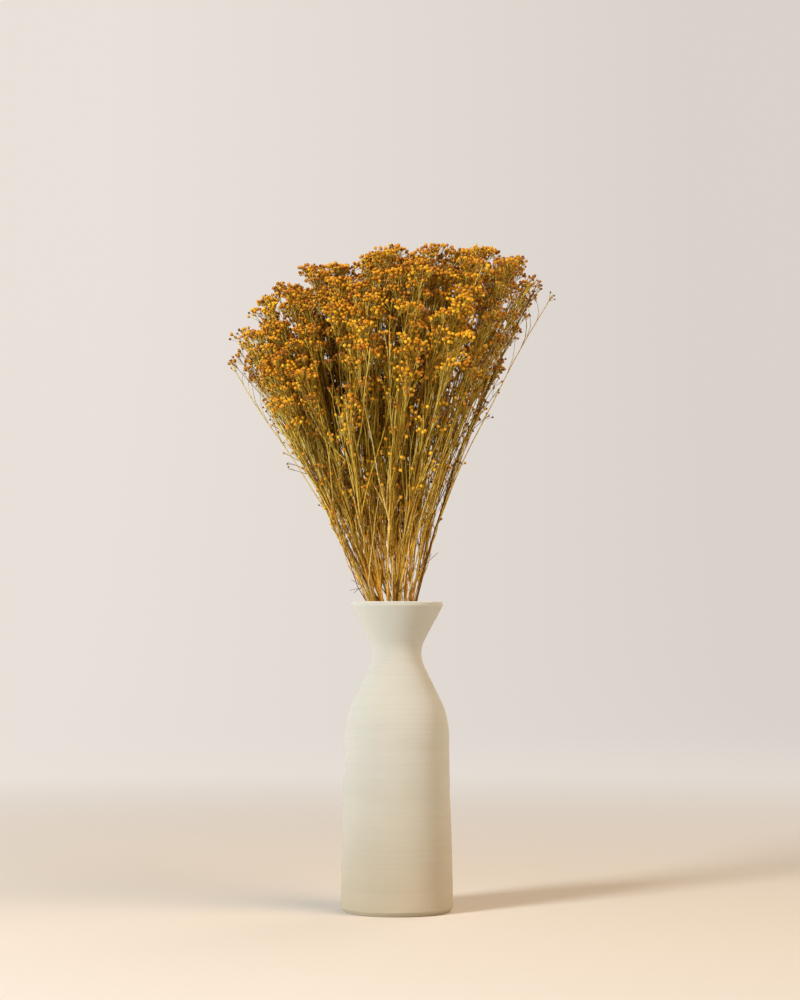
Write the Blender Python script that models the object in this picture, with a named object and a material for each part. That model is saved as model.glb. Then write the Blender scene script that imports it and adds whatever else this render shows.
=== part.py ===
"""A vase of dried broom blooms: a thrown stoneware bottle that holds thirty-six dried sprays.

Each spray is one stem that stands on the floor of the vase, leans through the neck and divides
into leaders and twigs, and each of these ends in a round seed pod. Sizes are in metres, +Z is up,
the front faces -Y, and the origin is the centre of the vase's foot.
"""

import math
import random

import bmesh
import bpy
from mathutils import Vector

MM = 0.001

# Vase, by its outer outline
VASE_HEIGHT = 250 * MM
FOOT_RADIUS = 42 * MM
FOOT_BEVEL = 3.6 * MM
BELLY_RADIUS = 45.6 * MM
BELLY_BEND = (44.4 * MM, 57 * MM)
WAIST_BEND = (42.9 * MM, 95 * MM)
SHOULDER = (42.2 * MM, 156.5 * MM)
THROAT = (17.0 * MM, 208.6 * MM)
LIP_RADIUS = 37.2 * MM
LIP_HEIGHT = 4.5 * MM
SHOULDER_FILLET = 69 * MM
THROAT_FILLET = 24 * MM
LIP_FILLET = 1.2 * MM
LIP_FLARE = 0.4 * MM
WALL = 4.5 * MM
FLOOR = 6 * MM
FLOOR_FILLET = 4 * MM
TURN_STEPS = 32
SHARP_ANGLE = math.radians(32)
STONEWARE_COLOUR = (0.62, 0.60, 0.48)
STONEWARE_ROUGHNESS = 0.85

# Bundle of stems. A rise is a height above the narrowest place of the vase's neck.
SEED = 39
SPRAY_COUNT = 36
NECK_HEIGHT = 209 * MM
NECK_SPREAD = 12.4 * MM
LEAN_BELOW = 0.155
LEAN_ABOVE = 0.39
LEAN_BLEND = 42 * MM
CURL_OUT = 0.22
DEPTH_SHARE = 0.86
DRIFT_LEFT = 0.17
DRIFT_START = 25 * MM
DRIFT_BACK = 0.30
FIRST_TURN = math.radians(10)
GOLDEN_TURN = math.pi * (3 - math.sqrt(5))

# Dome of the heads, by the place across the bundle, from -1 on the left to 1 on the right
DOME_RISE = 339 * MM
DOME_PEAK = 0.45
DOME_FALL_LEFT = 34 * MM
DOME_POWER_LEFT = 2.6
DOME_FALL_RIGHT = 200 * MM
DOME_POWER_RIGHT = 3
DOME_FALL_DEPTH = 95 * MM
DOME_POWER_DEPTH = 2

# Spray. Every shoot has three sides, and ranges are drawn from for each shoot.
SIDES = 3
STEM_GAP = 0.3 * MM
STEM_RADIUS = 1.25 * MM
# How far a stem ends below the dome, and how much more at the front and back
STEM_DROP = (0 * MM, 6 * MM)
DEPTH_DROP = (0 * MM, 26 * MM)
# Heights at which every stem has a ring, up to just above the rim of the vase
STEM_HEIGHTS = (FLOOR + STEM_GAP, 180 * MM, 222 * MM, 258 * MM)
LEADER_ROOT_RADIUS = 0.4 * MM
LEADER_RADIUS = 0.7 * MM
TIP_RADIUS = 0.6 * MM
STALK_RADIUS = 0.38 * MM
STALK_ROOT_RADIUS = 0.28 * MM
POD_RADIUS = 1.85 * MM
POD_CLEARANCE = 2.1 * MM
LEADER_CLEARANCE = 1.2 * MM
LEADER_COUNT = 3
LEADER_STEPS = 3
# Where leaders leave the stem, as shares of its length above the rim
LEADER_START = 0.18
LEADER_SPACING = 0.15
LEADER_SLACK = 0.6
# How far a leader leans, as a share of the room round its stem, and more on the bundle's outside
LEADER_LEAN = (0.62, 0.8)
OUTER_LEAN = 0.09
LEFT_LEAN = 0.07
# How far a leader ends below its stem, and how much lower on the bundle's outside
LEADER_DROP = (2 * MM, 14 * MM)
OUTER_DROP = (10 * MM, 50 * MM)
# How far leaders may turn from their even places round the stem, in radians
FIRST_TWIST = 0.5
TWIST = 0.2
TWIG_COUNT = 2
# Where twigs leave the last straight stretch of a shoot, as shares of it, from its end down
TWIG_SPAN = 42 * MM
TWIG_START = 0.36
TWIG_SPACING = 0.2
TWIG_SLACK = 0.5
# How far below its shoot's end a twig ends, and how far it reaches to the side
TWIG_DROP = (0 * MM, 7 * MM)
TWIG_REACH = (6.5 * MM, 10 * MM)
# From the end of a stalk to the middle of its pod, and to the shoot's tip at the top of the pod
POD_SEAT = 0.85 * POD_RADIUS
POD_DROP = 3 * MM
PLANT_COLOUR = (0.42, 0.22, 0.03)
PLANT_TONE = (0.85, 1.15)
PLANT_ROUGHNESS = 0.55


def clear_scene():
    for item in list(bpy.data.objects):
        bpy.data.objects.remove(item)


def material(name, colour, roughness):
    made = bpy.data.materials.new(name)
    made.use_nodes = True
    shader = made.node_tree.nodes["Principled BSDF"]
    shader.inputs["Base Color"].default_value = (*colour, 1)
    shader.inputs["Roughness"].default_value = roughness
    shader.inputs["Metallic"].default_value = 0
    return made


# Vase


def arc(before, corner, after, radius, steps):
    """The points of the arc that rounds one corner of an outline."""
    back = (before - corner).normalized()
    ahead = (after - corner).normalized()
    half = back.angle(ahead) / 2
    centre = corner + (back + ahead).normalized() * (radius / math.sin(half))
    first = corner + back * (radius / math.tan(half)) - centre
    last = corner + ahead * (radius / math.tan(half)) - centre
    start = math.atan2(first.y, first.x)
    swing = (math.atan2(last.y, last.x) - start + math.pi) % (2 * math.pi) - math.pi
    angles = [start + swing * step / steps for step in range(steps + 1)]
    return [centre + radius * Vector((math.cos(angle), math.sin(angle))) for angle in angles]


def rounded(corners):
    """The outline through corners of (radius, height, fillet, steps). A fillet of 0 stays sharp."""
    places = [Vector(corner[:2]) for corner in corners]
    outline = []
    for index, (_, _, fillet, steps) in enumerate(corners):
        if fillet:
            outline += arc(places[index - 1], places[index], places[index + 1], fillet, steps)
        else:
            outline.append(places[index])
    return outline


def offset_out(radius, slope):
    """The radius of the inner wall, square to a stretch of the outer wall with this slope."""
    return radius - WALL * math.hypot(1, slope)


def vase_outline():
    """The half section of the vase, from the middle of its floor over the lip to under its foot."""
    lip_foot = VASE_HEIGHT - LIP_HEIGHT
    flare_slope = (LIP_RADIUS - THROAT[0]) / (lip_foot - THROAT[1])
    throat_inside = offset_out(THROAT[0], flare_slope)
    mouth = throat_inside + flare_slope * (VASE_HEIGHT - THROAT[1])
    shoulder_inside = offset_out(SHOULDER[0], 0)
    inside = [
        (0, FLOOR, 0, 0),
        (BELLY_BEND[0] - WALL, FLOOR, FLOOR_FILLET, 1),
        (shoulder_inside, SHOULDER[1], SHOULDER_FILLET - WALL, 2),
        (throat_inside, THROAT[1], THROAT_FILLET + WALL, 4),
        (mouth, VASE_HEIGHT, LIP_FILLET, 1),
    ]
    outside = [
        (LIP_RADIUS + LIP_FLARE, VASE_HEIGHT, LIP_FILLET, 1),
        (LIP_RADIUS, lip_foot, 0, 0),
        (*THROAT, THROAT_FILLET, 5),
        (*SHOULDER, SHOULDER_FILLET, 4),
        (*WAIST_BEND, 0, 0),
        (*BELLY_BEND, 0, 0),
        (BELLY_RADIUS, FOOT_BEVEL, 0, 0),
        (FOOT_RADIUS, 0, 0, 0),
        (0, 0, 0, 0),
    ]
    return rounded(inside + outside)


def turned(name, outline, steps):
    """A closed body turned about the Z axis from an outline that starts and ends on it."""
    form = bmesh.new()
    points = [form.verts.new((point.x, 0, point.y)) for point in outline]
    edges = [form.edges.new(pair) for pair in zip(points, points[1:])]
    bmesh.ops.spin(
        form, geom=points + edges, cent=(0, 0, 0), axis=(0, 0, 1),
        angle=2 * math.pi, steps=steps, use_merge=True,
    )
    bmesh.ops.remove_doubles(form, verts=form.verts, dist=0.001 * MM)
    bmesh.ops.recalc_face_normals(form, faces=form.faces)
    mesh = bpy.data.meshes.new(name)
    form.to_mesh(mesh)
    form.free()
    mesh.shade_smooth()
    mesh.set_sharp_from_angle(angle=SHARP_ANGLE)
    return placed(name, mesh)


def placed(name, mesh):
    item = bpy.data.objects.new(name, mesh)
    bpy.context.scene.collection.objects.link(item)
    return item


def vase():
    item = turned("vase", vase_outline(), TURN_STEPS)
    item.data.materials.append(material("stoneware", STONEWARE_COLOUR, STONEWARE_ROUGHNESS))
    return item


# Bundle


def spread(rise):
    """How far the outermost stems have leaned out at a rise."""
    bent = (rise + math.hypot(rise, LEAN_BLEND)) / 2
    return LEAN_BELOW * rise + (LEAN_ABOVE - LEAN_BELOW) * bent + CURL_OUT * max(rise, 0) ** 2


def drift(rise):
    """How far the middle of the bundle has moved to the right at a rise. It leans left."""
    above = max(rise, 0)
    return DRIFT_BACK * above**2 - DRIFT_LEFT * above**2 / (above + DRIFT_START)


def bundle_point(u, v, height):
    """Where the stem of place (u, v) passes a height. The bundle turns a quarter at the neck, and
    the stems of two places never meet."""
    rise = height - NECK_HEIGHT
    out = spread(rise)
    x = drift(rise) + out * u + NECK_SPREAD * v
    y = out * DEPTH_SHARE * v - NECK_SPREAD * u
    return Vector((x, y, height))


def dome_height(u, v):
    """The height of the heads' dome over a place in the bundle."""
    left = max(DOME_PEAK - u, 0)
    right = max(u - DOME_PEAK, 0)
    fall = DOME_FALL_LEFT * left**DOME_POWER_LEFT + DOME_FALL_RIGHT * right**DOME_POWER_RIGHT
    fall += DOME_FALL_DEPTH * abs(v) ** DOME_POWER_DEPTH
    return NECK_HEIGHT + DOME_RISE - fall


def places():
    """The places of the stems, spread evenly over the unit disc."""
    spots = []
    for index in range(SPRAY_COUNT):
        radius = math.sqrt((index + 0.5) / SPRAY_COUNT)
        turn = FIRST_TURN + index * GOLDEN_TURN
        spots.append((radius * math.cos(turn), radius * math.sin(turn)))
    return spots


def kept_in_cell(point, own, spots, clearance):
    """The point, moved back where it lies outside the room round its own stem at that height."""
    home = bundle_point(*own, point.z)
    for spot in spots:
        if spot == own:
            continue
        across = bundle_point(*spot, point.z) - home
        distance = across.length
        beyond = (point - home).dot(across) / distance - (distance / 2 - clearance)
        if beyond > 0:
            point = point - across * (beyond / distance)
    return point


# Spray


class Shoot:
    """A stem, leader or twig: where it leaves its parent, and its place and height at its tip."""

    def __init__(self, own, start, tip, lean=(0, 0)):
        self.own = own
        self.start = start
        self.tip = tip
        self.lean = lean

    def at(self, height):
        share = min(max((height - self.start) / (self.tip - self.start), 0), 1)
        moved = share * (2 - share)
        u = self.own[0] + self.lean[0] * moved
        v = self.own[1] + self.lean[1] * moved
        return bundle_point(u, v, height)


def room_round(own, spots):
    """Half of the way, across the bundle, from a stem to its nearest neighbour."""
    return min(math.dist(own, spot) for spot in spots if spot != own) / 2


def leaders(stem, spots, draw):
    """The shoots that leave a stem above the rim, lower and wider apart on the bundle's outside."""
    room = room_round(stem.own, spots)
    away = math.hypot(*stem.own)
    facing = math.atan2(stem.own[1], stem.own[0])
    first_turn = facing + draw.uniform(-FIRST_TWIST, FIRST_TWIST)
    shoots = []
    for number in range(LEADER_COUNT):
        turn = first_turn + number * 2 * math.pi / LEADER_COUNT + draw.uniform(-TWIST, TWIST)
        outward = max(math.cos(turn - facing), 0) * away
        lean = draw.uniform(*LEADER_LEAN) * room
        lean += (OUTER_LEAN - LEFT_LEAN * math.cos(facing)) * outward
        lower = draw.uniform(*LEADER_DROP)
        lower += outward * abs(math.sin(facing)) * draw.uniform(*OUTER_DROP)
        share = LEADER_START + (number + draw.uniform(0, LEADER_SLACK)) * LEADER_SPACING
        start = STEM_HEIGHTS[-1] + share * (stem.tip - STEM_HEIGHTS[-1])
        away_from_stem = (lean * math.cos(turn), lean * math.sin(turn))
        shoots.append(Shoot(stem.own, start, stem.tip - lower, away_from_stem))
    return shoots


def ring(centre, along, radius, turn):
    """The corners of a shoot's section, square to the way that it runs."""
    side = along.cross(Vector((0, 1, 0))).normalized()
    other = along.cross(side).normalized()
    angles = [turn + 2 * math.pi * step / SIDES for step in range(SIDES)]
    return [centre + radius * (math.cos(a) * side + math.sin(a) * other) for a in angles]


def rings_along(path, radii, turn, level_foot=False):
    """The rings of a shoot that follows the path, and the two rings of the pod at its end."""
    rings = []
    for index, (centre, radius) in enumerate(zip(path, radii)):
        along = (path[min(index + 1, len(path) - 1)] - path[max(index - 1, 0)]).normalized()
        cut = Vector((0, 0, 1)) if level_foot and index == 0 else along
        rings.append(ring(centre, cut, radius, turn))
    pod = path[-1] + along * POD_SEAT
    # Two triangles at this distance and of this width, a half turn apart, make an octahedron
    step = along * (POD_RADIUS / math.sqrt(3))
    width = POD_RADIUS * math.sqrt(2 / 3)
    rings.append(ring(pod - step, along, width, turn))
    rings.append(ring(pod + step, along, width, turn + math.pi / SIDES))
    return rings


def skin(rings):
    """One closed mesh of triangles over the rings."""
    faces = [tuple(range(SIDES - 1, -1, -1))]
    for level in range(len(rings) - 1):
        for side in range(SIDES):
            low = level * SIDES + side
            low_next = level * SIDES + (side + 1) % SIDES
            faces.append((low, low_next, low + SIDES))
            faces.append((low_next, low_next + SIDES, low + SIDES))
    faces.append(tuple(range((len(rings) - 1) * SIDES, len(rings) * SIDES)))
    mesh = bpy.data.meshes.new("shoot")
    mesh.from_pydata([point for corners in rings for point in corners], [], faces)
    return mesh


def stem_path(stem, starts):
    """The points and radii of a stem, with a point where each leader leaves it."""
    heights = [*STEM_HEIGHTS, *sorted(starts), stem.tip - POD_DROP]
    span = stem.tip - STEM_HEIGHTS[0]
    shares = [(height - STEM_HEIGHTS[0]) / span for height in heights]
    radii = [STEM_RADIUS + (TIP_RADIUS - STEM_RADIUS) * share for share in shares]
    return [stem.at(height) for height in heights], radii


def leader_path(leader, spots):
    """The points and radii of a leader, from the middle of the stem."""
    step = (leader.tip - POD_DROP - leader.start) / LEADER_STEPS
    path = [leader.at(leader.start)]
    for number in range(1, LEADER_STEPS + 1):
        clearance = POD_CLEARANCE if number == LEADER_STEPS else LEADER_CLEARANCE
        path.append(kept_in_cell(leader.at(leader.start + number * step), leader.own, spots, clearance))
    radii = [LEADER_ROOT_RADIUS] + [LEADER_RADIUS] * (LEADER_STEPS - 1) + [TIP_RADIUS]
    return path, radii


def twigs(rings, path, own, spots, count, draw):
    """The meshes of the pods' stalks, each of which leaves a shoot through the middle of a side."""
    meshes = []
    first = draw.randrange(SIDES)
    length = (path[-1] - path[-2]).length
    for number in range(count):
        side = (first + number) % SIDES
        share = TWIG_START + (number + draw.uniform(0, TWIG_SLACK)) * TWIG_SPACING
        foot = path[-1].lerp(path[-2], share * min(length, TWIG_SPAN) / length)
        corners = rings[len(path) - 1]
        out = ((corners[side] + corners[(side + 1) % SIDES]) / 2 - path[-1]).normalized()
        pod = path[-1] - (path[-1] - path[-2]).normalized() * draw.uniform(*TWIG_DROP)
        pod = kept_in_cell(pod + out * draw.uniform(*TWIG_REACH), own, spots, POD_CLEARANCE)
        end = pod - (pod - foot).normalized() * POD_SEAT
        radii = [STALK_ROOT_RADIUS, STALK_RADIUS]
        meshes.append(skin(rings_along([foot, end], radii, draw.uniform(0, math.pi))))
    return meshes


def side_turn(stem, leader):
    """The turn of a stem's rings that lets the leader leave through the middle of a side."""
    height = leader.start + (leader.tip - leader.start) / LEADER_STEPS
    away = leader.at(height) - stem.at(height)
    return math.atan2(away.y, away.x) - math.pi - math.pi / SIDES


def spray(number, own, spots):
    """One spray: its stem with every leader, twig and pod joined to it."""
    draw = random.Random(SEED + number)
    lower = draw.uniform(*STEM_DROP) + abs(own[1]) * draw.uniform(*DEPTH_DROP)
    stem = Shoot(own, STEM_HEIGHTS[0], dome_height(*own) - lower)
    branches = leaders(stem, spots, draw)
    path, radii = stem_path(stem, [leader.start for leader in branches])
    rings = rings_along(path, radii, side_turn(stem, branches[0]), level_foot=True)
    item = placed(f"spray_{number + 1:02d}", skin(rings))
    meshes = twigs(rings, path, own, spots, SIDES, draw)
    for leader in branches:
        path, radii = leader_path(leader, spots)
        rings = rings_along(path, radii, draw.uniform(0, math.pi))
        meshes.append(skin(rings))
        meshes += twigs(rings, path, own, spots, TWIG_COUNT, draw)
    unite(item, meshes)
    tone = draw.uniform(*PLANT_TONE)
    colour = [tone * channel for channel in PLANT_COLOUR]
    item.data.materials.append(material(item.name, colour, PLANT_ROUGHNESS))
    return item


def unite(item, meshes):
    """Joins loose meshes to an object in one Boolean union."""
    shelf = bpy.data.collections.new("shoots")
    bpy.context.scene.collection.children.link(shelf)
    for mesh in meshes:
        shelf.objects.link(bpy.data.objects.new("shoot", mesh))
    union = item.modifiers.new("union", "BOOLEAN")
    union.operation = "UNION"
    union.operand_type = "COLLECTION"
    union.collection = shelf
    union.solver = "EXACT"
    with bpy.context.temp_override(object=item):
        bpy.ops.object.modifier_apply(modifier=union.name)
    for loose in list(shelf.objects):
        bpy.data.objects.remove(loose)
    bpy.data.collections.remove(shelf)


def build():
    clear_scene()
    vase()
    spots = places()
    for number, own in enumerate(spots):
        spray(number, own, spots)


build()
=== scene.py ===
"""The looks of a vase of dried broom blooms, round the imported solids: the thrown stoneware with its
turning lines, and thirty-six dried sprays with their fine twigs and round seed pods.
"""

import functools
import math
import random

import bpy
import numpy as np
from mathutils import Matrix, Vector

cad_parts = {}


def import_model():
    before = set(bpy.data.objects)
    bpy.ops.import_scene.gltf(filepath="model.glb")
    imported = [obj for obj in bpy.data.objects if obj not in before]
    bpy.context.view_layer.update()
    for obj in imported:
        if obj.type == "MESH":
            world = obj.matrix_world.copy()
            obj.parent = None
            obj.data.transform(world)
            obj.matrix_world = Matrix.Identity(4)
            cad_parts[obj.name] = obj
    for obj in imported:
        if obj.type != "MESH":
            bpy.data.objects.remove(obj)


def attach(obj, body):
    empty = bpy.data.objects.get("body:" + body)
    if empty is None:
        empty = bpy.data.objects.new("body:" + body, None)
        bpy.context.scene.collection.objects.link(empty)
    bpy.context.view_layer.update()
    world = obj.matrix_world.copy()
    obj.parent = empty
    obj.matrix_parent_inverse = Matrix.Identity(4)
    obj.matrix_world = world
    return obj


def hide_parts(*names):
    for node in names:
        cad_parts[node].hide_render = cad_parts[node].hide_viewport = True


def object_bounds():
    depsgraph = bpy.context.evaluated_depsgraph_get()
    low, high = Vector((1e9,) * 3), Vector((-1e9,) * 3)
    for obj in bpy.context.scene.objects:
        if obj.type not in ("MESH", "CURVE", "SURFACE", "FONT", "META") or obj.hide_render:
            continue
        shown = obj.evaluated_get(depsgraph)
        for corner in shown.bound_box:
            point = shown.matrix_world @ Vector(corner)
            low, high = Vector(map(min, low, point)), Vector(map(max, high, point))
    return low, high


MM = 0.001

# Camera and stage
CAMERA_PLACE = (0.0025, -1.914, 0.227)
CAMERA_PITCH = math.radians(3.17)
CAMERA_LENS = 84.5
SENSOR_WIDTH = 36
FLOOR_RADIUS = 3.0
WALL_RADIUS = 4.6
WALL_HEIGHT = 5.0
FLOOR_COLOUR = (0.845, 0.80, 0.725)
WALL_COLOUR = (0.12, 0.115, 0.11)
GLOW_COLOUR = (0.803, 0.748, 0.696)
WALL_GLOW = 0.95
# Painted shade on the stage, darker to the right as if lit from the left: the share of its colour
# and glow at its left and at its right, and how far out these are
SHADE = (0.985, 0.84)
SHADE_REACH = 0.8
# How far from the object the floor's colour and glow start and end their change to the wall's
STAGE_FADE = (0.3, 1.8)
STAGE_STEPS = 96
STAGE_BEND_POINTS = 25

# The name, place, target, size, power and colour of each light
LIGHTS = (
    ("key", (-1.7, -1.6, 1.5), (0, 0, 0.3), 0.7, 62, (0.97, 0.98, 1.0)),
    ("fill", (1.8, -1.3, 2.5), (0, 0, 0.25), 2.6, 67, (1.0, 0.70, 0.44)),
    ("back", (1.3, 2.1, 1.7), (0, 0, 0.3), 1.8, 14, (1.0, 0.88, 0.74)),
)
WORLD_COLOUR = (1.0, 0.90, 0.79)
WORLD_STRENGTH = 0.24

# Vase, by its outer outline
VASE_HEIGHT = 250 * MM
FOOT_RADIUS = 42 * MM
FOOT_BEVEL = 3.6 * MM
BELLY_RADIUS = 45.6 * MM
BELLY_BEND = (44.4 * MM, 57 * MM)
WAIST_BEND = (42.9 * MM, 95 * MM)
SHOULDER = (42.2 * MM, 156.5 * MM)
THROAT = (17.0 * MM, 208.6 * MM)
LIP_RADIUS = 37.2 * MM
LIP_HEIGHT = 3.4 * MM
# How far the lip's upper and lower corners stand out beyond its radius, and their fillets
LIP_CORNERS = (0.3 * MM, 0.15 * MM)
LIP_FILLETS = (1.7 * MM, 2.2 * MM)
MOUTH_FILLET = 1.4 * MM
SHOULDER_FILLET = 69 * MM
THROAT_FILLET = 24 * MM
SIDE_FILLET = 60 * MM
HEEL_FILLET = 1.2 * MM
FLOOR_FILLET = 4 * MM
WALL = 4.5 * MM
FLOOR = 6 * MM
# The foot's corner, from its radius, and its fillet, the inner edge of the ring that it stands on,
# and the hollow inside this
FOOT_CORNER = 0.4 * MM
FOOT_FILLET = 0.8 * MM
FOOT_RING = (-5 * MM, -6.5 * MM)
FOOT_HOLLOW = 0.9 * MM
# How far apart the points of the outline are, and how many steps the vase is turned in
INSIDE_STEP = 4 * MM
OUTSIDE_STEP = 1.1 * MM
VASE_STEPS = 96
VASE_SHARP = math.radians(40)
# The ridges that the potter's fingers leave: the pitch, size and phase of each of their waves.
# They cover the vase except its foot, the top of its lip and the narrowest place of its inside.
RIDGES = (
    (0.62 * MM, 0.021 * MM, 0.0),
    (0.41 * MM, 0.014 * MM, 1.3),
    (3.1 * MM, 0.06 * MM, 0.0),
    (5.3 * MM, 0.042 * MM, 0.8),
)
RIDGED_FROM = 0.9 * THROAT[0]
PLAIN_LIP = 1 * MM
# The clay is painted darker and warmer from this height down, a painted warm reflection of the floor
FOOT_BOUNCE_HEIGHT = 110 * MM
FOOT_BOUNCE_TINT = (0.89, 0.79, 0.66)

# Bundle of stems. A rise is a height above the narrowest place of the vase's neck.
SEED = 39
SPRAY_COUNT = 36
NECK_HEIGHT = 209 * MM
NECK_SPREAD = 12.4 * MM
LEAN_BELOW = 0.155
LEAN_ABOVE = 0.39
LEAN_BLEND = 42 * MM
CURL_OUT = 0.22
DEPTH_SHARE = 0.86
DRIFT_LEFT = 0.17
DRIFT_START = 25 * MM
DRIFT_BACK = 0.30
FIRST_TURN = math.radians(10)
GOLDEN_TURN = math.pi * (3 - math.sqrt(5))

# Dome of the heads, by the place across the bundle, from -1 on the left to 1 on the right
DOME_RISE = 339 * MM
DOME_PEAK = 0.45
DOME_FALL_LEFT = 34 * MM
DOME_POWER_LEFT = 2.6
DOME_FALL_RIGHT = 200 * MM
DOME_POWER_RIGHT = 3
DOME_FALL_DEPTH = 95 * MM
DOME_POWER_DEPTH = 2

# Stems and leaders, along the paths of the solids' own
STEM_FOOT = FLOOR + 0.7 * MM
STEM_DROP = (0 * MM, 6 * MM)
DEPTH_DROP = (0 * MM, 26 * MM)
RIM_CLEAR = 258 * MM
LEADER_COUNT = 3
LEADER_START = 0.18
LEADER_SPACING = 0.15
LEADER_SLACK = 0.6
LEADER_LEAN = (0.62, 0.8)
OUTER_LEAN = 0.09
LEFT_LEAN = 0.07
LEADER_DROP = (2 * MM, 14 * MM)
OUTER_DROP = (10 * MM, 50 * MM)
LEADER_CLEARANCE = 1.2 * MM
FIRST_TWIST = 0.5
TWIST = 0.2
STEM_RADII = (0.6 * MM, 1.3 * MM)
STEM_TIP_RADIUS = 0.38 * MM
LEADER_RADIUS = 0.52 * MM
LEADER_TIP_RADIUS = 0.33 * MM
STEM_POINTS = 26
STEM_SIDES = 7
STEM_TONES = (0.0, 1.0)
LEADER_POINTS = 12
LEADER_SIDES = 5
LEADER_TONES = (0.1, 1.0)
# How far below its tip a stem or leader ends, as its pods reach the tip
TIP_CLEAR = 3 * MM
# How thick a stem is, as shares of its thickest, at the start, the middle and three quarters
STEM_TAPER = (1, 0.85, 0.5)
STEM_TAPER_AT = (0, 0.5, 0.75, 1)
# The waver of a grown stem: its size, its pitch, how far above the rim it is in full, and how much
# slower it is to the front and back than to the sides
WAVER = 0.6 * MM
WAVER_PITCH = (9 * MM, 15 * MM)
WAVER_START = 60 * MM
WAVER_SLOWER = 0.8
# The start of a turn that may lie any way, in radians
ANY_TURN = (0, 6)

# Heads. A tuft is what one shoot carries: a cluster of pods at its end, and layers of twigs that
# leave it and carry clusters too. A layer has a count of twigs, how far below the shoot's tip they
# end, how far to the side they reach, how far they run, and how many pods each carries.
DETAIL_SEED = 400
TUFT_LAYERS = (
    (7, (-6 * MM, 7 * MM), (5 * MM, 12 * MM), (24 * MM, 48 * MM), (4, 6)),
    (4, (9 * MM, 24 * MM), (5 * MM, 11 * MM), (24 * MM, 55 * MM), (3, 6)),
    (2, (24 * MM, 46 * MM), (4 * MM, 10 * MM), (24 * MM, 60 * MM), (1, 4)),
    (2, (44 * MM, 92 * MM), (4 * MM, 9 * MM), (18 * MM, 40 * MM), (1, 2)),
)
# The stems also carry fine twigs below the heads, with a pod or none, down to this height
LOW_LAYER = (16, (80 * MM, 200 * MM), (3 * MM, 9 * MM), (16 * MM, 40 * MM), (0, 1))
LOWEST_TWIG = 300 * MM
THIN_LAYERS = (
    (3, (-5 * MM, 12 * MM), (4 * MM, 9 * MM), (20 * MM, 45 * MM), (3, 5)),
    (2, (14 * MM, 40 * MM), (3 * MM, 8 * MM), (20 * MM, 50 * MM), (1, 3)),
)
SPARSE_LAYERS = (
    (2, (2 * MM, 30 * MM), (3 * MM, 8 * MM), (16 * MM, 40 * MM), (1, 3)),
)
# A tuft's number of twigs varies by this much, and the outermost shoots have fewer twigs and pods
# that are smaller, darker and more often withered
FULLNESS = (0.8, 1.6)
EDGE_FROM = 0.76
# From these shares of the way to the edge a shoot has the thin layers, and a stem few thin stems
EDGE_LAYERS = 0.5
EDGE_STEMS = 0.3
EDGE_THIN = 0.2
EDGE_DARKER = 0.2
EDGE_SMALLER = 0.14
HUSK_SHARE = 0.09
EDGE_HUSKS = 0.3
HUSK_SIZE = 0.72
HUSK_TONES = (0.0, 0.16)
TWIG_RADIUS = 0.3 * MM
TWIG_TAPER = 0.7
TWIG_POINTS = 4
TWIG_SIDES = 3
TWIG_TONES = (0.1, 0.9)
TWIG_TURN = 0.3
TWIG_BEND = 0.5
# How near a twig may start to the foot of its shoot, and over which height it takes its way
TWIG_CLEAR = 2 * MM
TWIG_AIM = 6 * MM
CLUSTER_RADIUS = 5 * MM
CLUSTER_SIZES = (0.8, 1.15)
CLUSTER_FULL = 4
CLUSTER_DOME = 0.07
CLUSTER_SCATTER = 2 * MM
CLUSTER_SINK = (-0.6, 1.0)
CLUSTER_OUT = (0.1, 0.6)
CLUSTER_TURN = 0.5
CLUSTER_ROOM = 0.8
POD_RADII = (1.12 * MM, 1.6 * MM)
POD_TONES = (0.42, 0.82)
POD_TONE_SCATTER = 0.17
DARKEST_POD = 0.02
POD_TILT = 0.5
PEDICEL_RADIUS = 0.2 * MM
PEDICEL_FLARE = 1.3
PEDICEL_SINK = 0.8
PEDICEL_LENGTH = (4 * MM, 10 * MM)
PEDICEL_TONES = (0.2, 0.8)
# Thin stems that leave a spray's stem near the rim and stand round it. There are fewer at the
# edges, where they start in the vase's neck, and more behind this place in the bundle.
THIN_STEMS = 4
THIN_STEMS_EDGE = 3
THIN_STEMS_BACK = 6
BACK_FROM = 0.1
THIN_START = (240 * MM, 350 * MM)
THIN_START_EDGE = (190 * MM, 225 * MM)
THIN_AWAY = (0.05, 0.15)
THIN_TIP = (400 * MM, 530 * MM)
THIN_BELOW = (1 * MM, 48 * MM)
THIN_LEAN = 0.32
THIN_RADII = (0.35 * MM, 0.7 * MM)
THIN_TAPER = 0.6
THIN_SIDES = 4
THIN_POINTS = 16
THIN_WAVERS = (1, 2.2)
# Just above the rim thin stems stand further apart: the share, the height and the reach of this
MOUTH_SPREAD = 0.14
MOUTH_HEIGHT = 262 * MM
MOUTH_REACH = 35 * MM
# How far out in the bundle a thin stem or side shoot may have its place
UTMOST = 0.98
# How far beyond the outermost stems a twig may end, and how far it is turned back from further out
SIDE_ROOM = 2 * MM
SIDE_TURN = 1.5
# How far inside the solids' box the pods' middles stay, and how far a point beyond is turned back
BOX_MARGIN = 2.1 * MM
BOX_TURN = 0.5
# Hollows in the front of the bundle, where few twigs end: the middle and half the size of each,
# across and up
HOLLOWS = (
    ((-52 * MM, 427 * MM), (13 * MM, 34 * MM)),
    ((-4 * MM, 471 * MM), (15 * MM, 11 * MM)),
)
HOLLOW_BACK = 6 * MM
# How much darker stems and pods in or behind a hollow are painted, a painted shade of its recess
HOLLOW_STEM_PAINTED_SHADE = 0.8
HOLLOW_POD_PAINTED_SHADE = 0.5
# Stubs of dropped leaves and side twigs, between the rim and this height
STUB_TOP = 440 * MM
STUB_LENGTH = (2 * MM, 8 * MM)
STUB_RADIUS = 0.28 * MM
STUB_TAPER = 0.6
STUB_TONES = (0, 0.4)
# A stub's way, as its shares outwards and upwards
STUB_OUT = 0.5
STUB_UP = 0.85
STEM_STUBS = 24
THIN_STUBS = 9
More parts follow.
